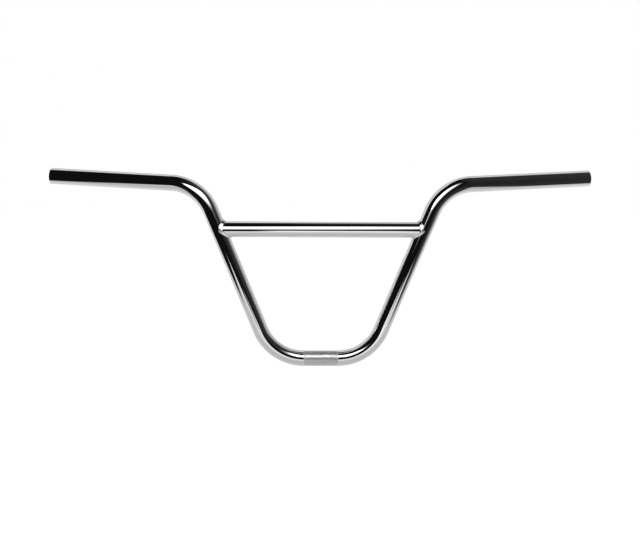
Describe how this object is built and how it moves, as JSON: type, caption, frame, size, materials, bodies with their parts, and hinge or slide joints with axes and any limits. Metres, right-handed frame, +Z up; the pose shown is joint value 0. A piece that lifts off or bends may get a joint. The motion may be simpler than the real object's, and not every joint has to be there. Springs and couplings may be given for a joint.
{
  "type": "bicycle handlebar",
  "caption": "Chromed BMX handlebar: one bent tube with swept grip ends, a welded crossbar between its legs and a knurled stem clamp band.",
  "frame": {"origin": "middle of the stem clamp band, on the tube's axis", "axes": "+X along the clamp band, to the right as the picture shows the bar from its front; +Y back towards the rider, as the grips sweep; +Z up along the rise. Left and right are as seen from the front"},
  "size_m": [0.7662, 0.0641, 0.2762],
  "materials": {
    "chrome_plate": "polished chrome plate on steel tube, knurled and duller on the stem clamp band",
    "plated_weld": "chrome plate over a rippled weld bead"
  },
  "bodies": {
    "root": {"main_tube": "chrome_plate", "crossbar": "chrome_plate", "weld_beads": "plated_weld"}
  },
  "joints": []
}
